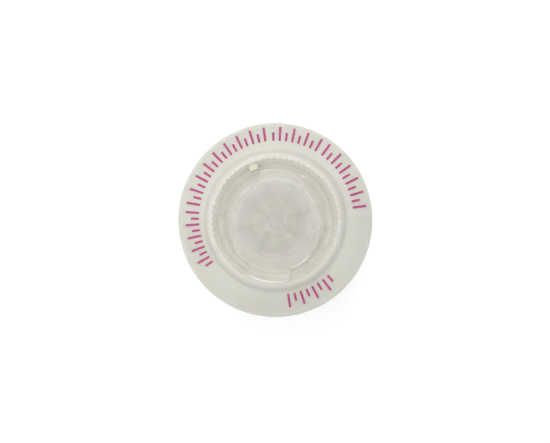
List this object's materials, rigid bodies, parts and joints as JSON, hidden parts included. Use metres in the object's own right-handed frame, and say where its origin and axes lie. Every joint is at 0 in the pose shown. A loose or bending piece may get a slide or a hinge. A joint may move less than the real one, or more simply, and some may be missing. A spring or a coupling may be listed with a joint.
{
  "type": "syringe filter",
  "caption": "Round disc syringe filter of two welded half shells round a membrane, with a female luer lock inlet above and a male luer slip outlet below.",
  "frame": {"origin": "centre of the outlet tip's end face, on which the filter stands", "axes": "+Z along the flow axis towards the inlet mouth; the two locking lugs lie along +Y and -Y"},
  "size_m": [0.0173, 0.0172, 0.021],
  "materials": {
    "polypropylene": "satin, milky and translucent",
    "ptfe": "matte",
    "backing": "non-woven",
    "ink": "printed ink"
  },
  "bodies": {
    "root": {"inlet_housing": "polypropylene", "outlet_housing": "polypropylene", "membrane": "ptfe", "membrane_backing": "backing", "rim_print": "ink"}
  },
  "joints": []
}
